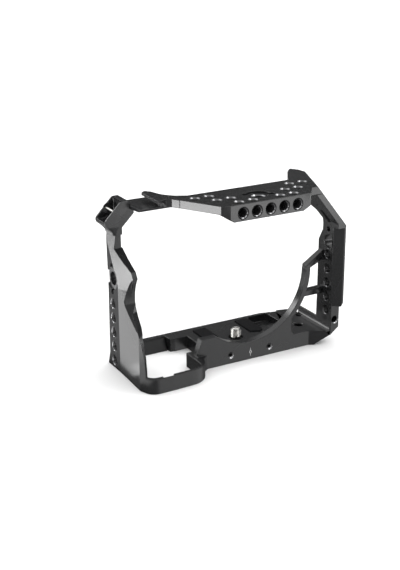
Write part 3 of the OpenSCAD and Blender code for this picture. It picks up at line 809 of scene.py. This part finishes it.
class CAGE_OT_axis_mark(bpy.types.Operator):
    """Diamond on the front that shows where the lens axis is"""

    bl_idname = "cage.axis_mark"
    bl_label = "Axis mark"

    def execute(self, context):
        centre = Vector((LENS_X + 0.1 * MM, FACE_Y - 0.02 * MM, 4.8 * MM))
        bm = bmesh.new()
        outer = [(0, 1.55), (0.95, 0), (0, -1.55), (-0.95, 0)]
        ring = [bm.verts.new((x * MM, 0, z * MM)) for x, z in outer]
        hole = [bm.verts.new((0.55 * x * MM, 0, 0.55 * z * MM)) for x, z in outer]
        for i in range(4):
            j = (i + 1) % 4
            bm.faces.new((ring[i], ring[j], hole[j], hole[i]))
        for side in (-1, 1):
            tick = [(-0.16, 1.5), (0.16, 1.5), (0.1, 2.7), (-0.1, 2.7)]
            bm.faces.new([bm.verts.new((x * MM, 0, side * z * MM)) for x, z in tick])
        bmesh.ops.recalc_face_normals(bm, faces=bm.faces)
        grown = bmesh.ops.extrude_face_region(bm, geom=list(bm.faces))
        moved = [g for g in grown["geom"] if isinstance(g, bmesh.types.BMVert)]
        bmesh.ops.translate(bm, vec=(0, 0.05 * MM, 0), verts=moved)
        bmesh.ops.recalc_face_normals(bm, faces=bm.faces)
        bmesh.ops.translate(bm, vec=centre, verts=bm.verts)
        make_piece("axis_mark", bm, shared(mark_paint), "frame")
        return {"FINISHED"}


class CAGE_OT_stage(bpy.types.Operator):
    """Camera, floor and soft studio light"""

    bl_idname = "cage.stage"
    bl_label = "Studio"

    def execute(self, context):
        stage = context.scene.cage_stage
        context.scene.view_settings.view_transform = "Standard"
        context.scene.view_settings.look = "None"
        self.add_camera(stage)
        self.add_floor(stage)
        self.add_world()
        self.add_lights(stage)
        return {"FINISHED"}

    def add_camera(self, stage):
        """The camera that took the photo."""
        turn = stage.yaw
        tilt = stage.pitch
        right = Vector((math.cos(turn), math.sin(turn), 0))
        forward = Vector((
            -math.sin(turn) * math.cos(tilt), math.cos(turn) * math.cos(tilt), -math.sin(tilt)))
        up = right.cross(forward)
        rolled_right = right * math.cos(stage.roll) + up * math.sin(stage.roll)
        rolled_up = up * math.cos(stage.roll) - right * math.sin(stage.roll)
        axes = Matrix((rolled_right, rolled_up, -forward)).transposed()
        data = bpy.data.cameras.new("camera")
        data.sensor_fit = "HORIZONTAL"
        data.sensor_width = 36
        data.lens = stage.focal
        data.clip_start = 0.01
        data.clip_end = 100
        camera = bpy.data.objects.new("camera", data)
        camera.matrix_world = Matrix.Translation(stage.camera_place) @ axes.to_4x4()
        bpy.context.scene.collection.objects.link(camera)
        bpy.context.scene.camera = camera

    def add_floor(self, stage):
        """Plain floor just below the cage, left out of reflections."""
        bm = bmesh.new()
        bmesh.ops.create_grid(bm, x_segments=1, y_segments=1, size=stage.floor_size / 2)
        bmesh.ops.translate(bm, vec=(0, 0, -0.05 * MM), verts=bm.verts)
        mesh = bpy.data.meshes.new("floor")
        bm.to_mesh(mesh)
        bm.free()
        floor = bpy.data.objects.new("floor", mesh)
        bpy.context.scene.collection.objects.link(floor)
        floor.data.materials.append(shared(floor_white))
        floor.visible_glossy = False

    def add_world(self):
        """White for the camera, and a dark studio with a bright horizon for reflections."""
        world = bpy.data.worlds.new("studio")
        bpy.context.scene.world = world
        world.use_nodes = True
        tree = world.node_tree
        tree.nodes.clear()
        place = tree.nodes.new("ShaderNodeTexCoord")
        split = tree.nodes.new("ShaderNodeSeparateXYZ")
        path = tree.nodes.new("ShaderNodeLightPath")
        room = tree.nodes.new("ShaderNodeBackground")
        white = tree.nodes.new("ShaderNodeBackground")
        mix = tree.nodes.new("ShaderNodeMixShader")
        out = tree.nodes.new("ShaderNodeOutputWorld")
        tree.links.new(place.outputs["Generated"], split.inputs["Vector"])
        sky = (
            (0.0, 2.2), (0.05, 2.2), (0.1, 0.08), (0.36, 0.05), (0.52, 1.1), (0.8, 1.6), (0.9, 0.3))
        front = self.add_ramp(tree, split, ((-0.5, 1.1), (-0.3, 1.3), (-0.06, 1.3), *sky))
        grip = self.add_ramp(tree, split, ((-0.5, 0.25), (-0.3, 0.3), (-0.06, 0.4), *sky))
        high = ((0.0, 1.2), (0.05, 1.2), (0.1, 0.04), (0.44, 0.04), (0.6, 1.0), *sky[5:])
        back = self.add_ramp(tree, split, ((-0.5, 0.15), (-0.3, 0.15), (-0.06, 0.3), *high))
        dim = self.add_ramp(tree, split, ((-0.3, 0.15), (0.0, 0.5), (0.1, 0.08), *sky[3:]))
        front = self.add_blend(tree, split.outputs["X"], (-0.2, 0.5), grip, front)
        back = self.add_blend(tree, split.outputs["X"], (-0.4, 0.1), dim, back)
        blend = self.add_blend(tree, split.outputs["Y"], (-0.3, 0.3), front, back)
        tree.links.new(blend, room.inputs["Color"])
        white.inputs["Color"].default_value = (1, 1, 1, 1)
        tree.links.new(path.outputs["Is Camera Ray"], mix.inputs["Fac"])
        tree.links.new(room.outputs["Background"], mix.inputs[1])
        tree.links.new(white.outputs["Background"], mix.inputs[2])
        tree.links.new(mix.outputs["Shader"], out.inputs["Surface"])

    def add_blend(self, tree, place, ends, first, second):
        """Fades from the first colour to the second between two places."""
        share = tree.nodes.new("ShaderNodeMapRange")
        share.interpolation_type = "SMOOTHSTEP"
        share.inputs["From Min"].default_value, share.inputs["From Max"].default_value = ends
        tree.links.new(place, share.inputs["Value"])
        blend = tree.nodes.new("ShaderNodeMix")
        blend.data_type = "RGBA"
        tree.links.new(share.outputs["Result"], blend.inputs["Factor"])
        tree.links.new(first, blend.inputs["A"])
        tree.links.new(second, blend.inputs["B"])
        return blend.outputs["Result"]

    def add_ramp(self, tree, split, levels):
        """Brightness of the room by height, from -1 straight down to 1 straight up."""
        height = tree.nodes.new("ShaderNodeMapRange")
        height.inputs["From Min"].default_value = -1
        tree.links.new(split.outputs["Z"], height.inputs["Value"])
        ramp = tree.nodes.new("ShaderNodeValToRGB")
        steps = ramp.color_ramp.elements
        while len(steps) < len(levels):
            steps.new(0.5)
        for step, (z, level) in zip(steps, levels):
            step.position = (z + 1) / 2
            step.color = (level, level, level, 1)
        tree.links.new(height.outputs["Result"], ramp.inputs["Fac"])
        return ramp.outputs["Color"]

    def add_lights(self, stage):
        """Soft overhead light, panels on the floor and softboxes."""
        sun = bpy.data.lights.new("overhead", "SUN")
        sun.energy = stage.sun_strength
        sun.angle = math.radians(86)
        overhead = bpy.data.objects.new("overhead", sun)
        overhead.visible_glossy = False
        overhead.rotation_euler = (0, math.radians(14), 0)
        bpy.context.scene.collection.objects.link(overhead)
        side = stage.side_radiance
        front = stage.front_radiance
        self.add_panel("side_panel", (-0.4, 0.045), (0.33, 0.37), side)
        self.add_panel("grip_panel", (-0.14, 0.09), (0.14, 0.18), 0.13 * side)
        self.add_panel("foot_panel", (-0.11, -0.02), (0.07, 0.07), 0.1 * side)
        self.add_panel("front_panel", (0.3, -0.33), (0.4, 0.22), front)
        self.add_panel("far_side_panel", (0.34, 0.06), (0.26, 0.36), 1.5 * front)
        self.add_panel("back_panel", (0.0, 0.55), (0.4, 0.3), front)
        self.add_box("high_box", (-0.5, 0.75, 0.46), 0.3, 0.5 * side)
        self.add_box("low_box", (-0.76, 0.65, 0.0), 0.22, 0.42 * side)
        self.add_box("front_box", (0.47, -0.34, 0.78), 0.3, 0.25 * side)

    def add_box(self, name, direction, width, radiance):
        """Softbox a metre away that faces the cage from a direction."""
        light = bpy.data.lights.new(name, "AREA")
        light.shape = "DISK"
        light.size = width
        light.energy = radiance * math.pi * width ** 2
        way = Vector(direction).normalized()
        box = bpy.data.objects.new(name, light)
        box.location = way
        box.rotation_euler = way.to_track_quat("Z", "Y").to_euler()
        bpy.context.scene.collection.objects.link(box)

    def add_panel(self, name, centre, size, radiance):
        """Light panel that lies on the floor and faces up."""
        light = bpy.data.lights.new(name, "AREA")
        light.shape = "RECTANGLE"
        light.size, light.size_y = size
        light.energy = radiance * math.pi * size[0] * size[1]
        panel = bpy.data.objects.new(name, light)
        panel.location = (*centre, 1 * MM)
        panel.rotation_euler = (math.pi, 0, 0)
        bpy.context.scene.collection.objects.link(panel)


class CAGE_PT_panel(bpy.types.Panel):
    """Lists the cage's pieces"""

    bl_label = "Cage"
    bl_idname = "CAGE_PT_panel"
    bl_space_type = "VIEW_3D"
    bl_region_type = "UI"
    bl_category = "Cage"

    def draw(self, context):
        for operator in PIECES:
            self.layout.operator(operator.bl_idname)
        for group in (finish(), threads(), context.scene.cage_stage):
            box = self.layout.box()
            for name in group.__annotations__:
                box.prop(group, name)


GROUPS = (CageFinish, CageThreads, CageStage)
PIECES = (
    CAGE_OT_stage, CAGE_OT_billet, CAGE_OT_rims, CAGE_OT_strap_bar, CAGE_OT_screw, CAGE_OT_pads,
    CAGE_OT_small_parts, CAGE_OT_axis_mark,
)


def register():
    for item in (*GROUPS, *PIECES, CAGE_PT_panel):
        bpy.utils.register_class(item)
    bpy.types.Scene.cage_finish = PointerProperty(type=CageFinish)
    bpy.types.Scene.cage_threads = PointerProperty(type=CageThreads)
    bpy.types.Scene.cage_stage = PointerProperty(type=CageStage)


def unregister():
    del bpy.types.Scene.cage_finish
    del bpy.types.Scene.cage_threads
    del bpy.types.Scene.cage_stage
    for item in reversed((*GROUPS, *PIECES, CAGE_PT_panel)):
        bpy.utils.unregister_class(item)


def main():
    register()
    for operator in PIECES:
        group, name = operator.bl_idname.split(".")
        getattr(getattr(bpy.ops, group), name)()


if __name__ == "__main__":
    main()
